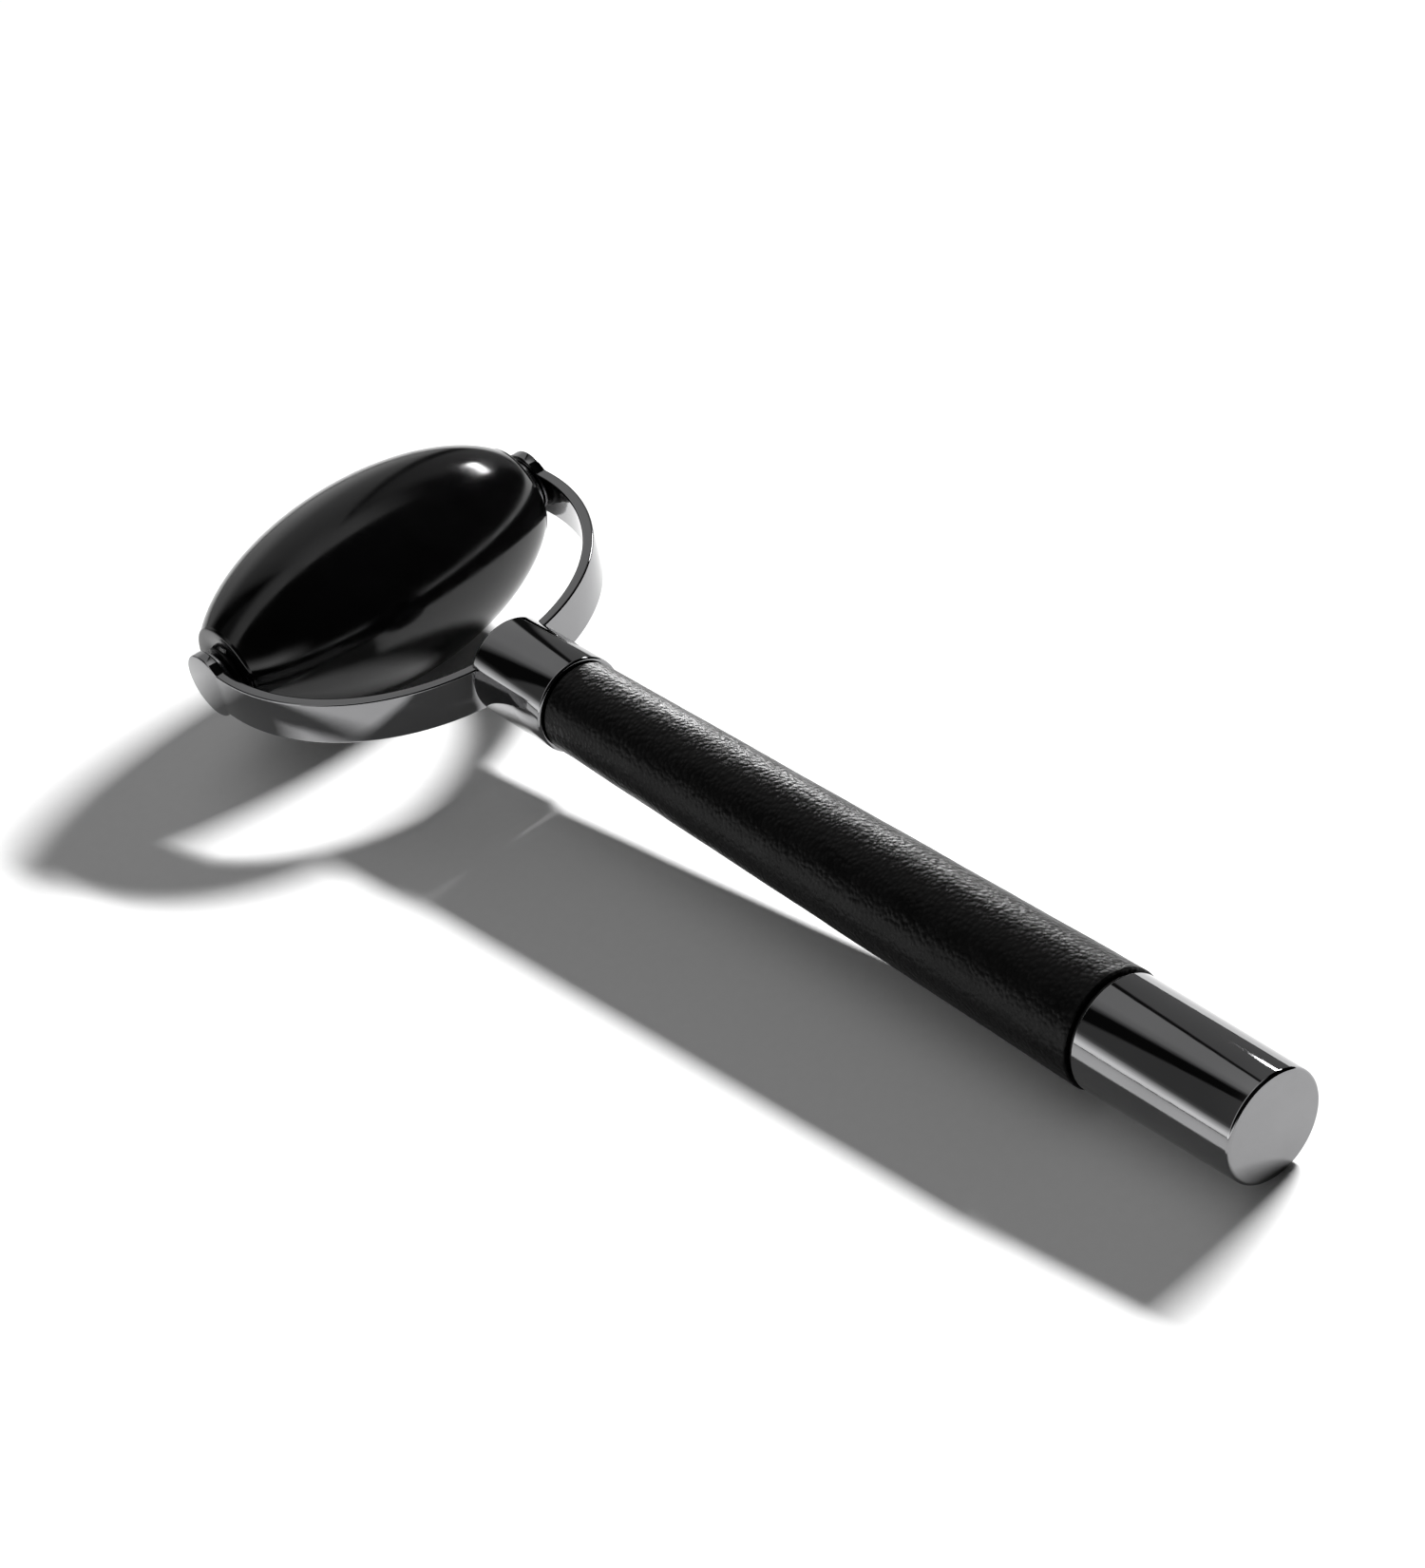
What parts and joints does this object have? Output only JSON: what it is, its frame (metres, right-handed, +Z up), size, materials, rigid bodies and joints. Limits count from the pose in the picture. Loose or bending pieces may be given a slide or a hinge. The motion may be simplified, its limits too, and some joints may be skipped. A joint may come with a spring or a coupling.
{
  "type": "face roller",
  "caption": "Hand-held facial roller: a barrel-shaped black stone spins on pins in a C-shaped metal yoke on a slim leather-wrapped handle with a metal end cap.",
  "frame": {"origin": "centre of the bounding box in X and Y, on the surface the roller lies on", "axes": "+X towards the end cap, Y along the stone's axis (pins), +Z up with the roller at rest on its stone and cap rim"},
  "size_m": [0.1461, 0.0452, 0.023],
  "materials": {
    "black_stone": "polished black stone",
    "chrome": "mirror polished plating",
    "steel": "turned",
    "brass": "turned",
    "aluminium": "mill",
    "nylon": "moulded",
    "leather": "fine grain, semi-matt"
  },
  "bodies": {
    "handle": {"pivot_pin_left": "steel", "pivot_pin_right": "steel", "thrust_washer_left": "nylon", "thrust_washer_right": "nylon", "yoke": "chrome", "collar": "chrome", "neck_stud": "steel", "front_plug": "brass", "core_tube": "aluminium", "grip_sleeve": "leather", "rear_plug": "brass", "spacer_ring": "nylon", "cap_stud": "steel", "cap_insert": "brass", "end_cap": "chrome"},
    "roller": {"roller_stone": "black_stone", "stone_bush_left": "nylon", "stone_bush_right": "nylon"}
  },
  "joints": [
    {"name": "stone_spin", "type": "hinge", "parent": "handle", "child": "roller", "pos_m": [-0.06156, 0, 0.0115], "axis": [0, 1, 0], "continuous": true}
  ]
}
